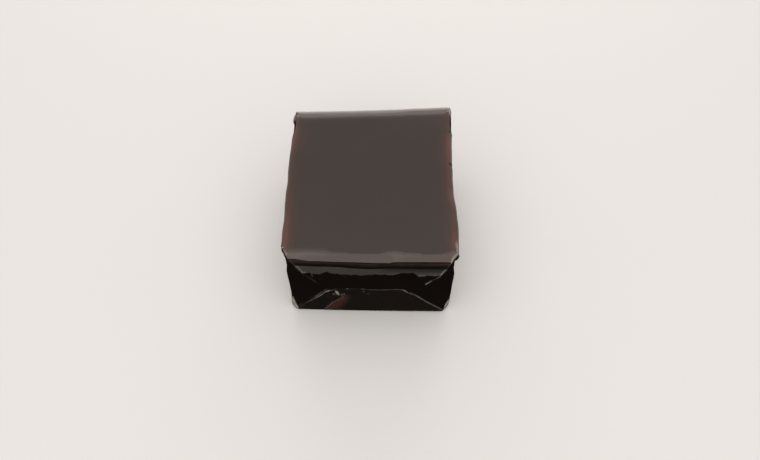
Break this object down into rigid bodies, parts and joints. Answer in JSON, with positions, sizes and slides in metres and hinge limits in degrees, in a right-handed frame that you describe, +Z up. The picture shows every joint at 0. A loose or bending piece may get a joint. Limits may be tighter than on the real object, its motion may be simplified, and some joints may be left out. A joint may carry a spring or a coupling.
{
  "type": "yokan",
  "caption": "Block of dark red bean jelly (yokan) out of its wrapper, with a rounded lip round the top and envelope folds printed on both ends.",
  "frame": {"origin": "centre of the bounding box on the underside, where the block rests", "axes": "+Z up, +Y along the block's length away from the end with the clearer fold, +X across it"},
  "size_m": [0.0442, 0.0506, 0.0292],
  "materials": {
    "bean_jelly": "wet satin"
  },
  "bodies": {
    "root": {"yokan_block": "bean_jelly"}
  },
  "joints": []
}
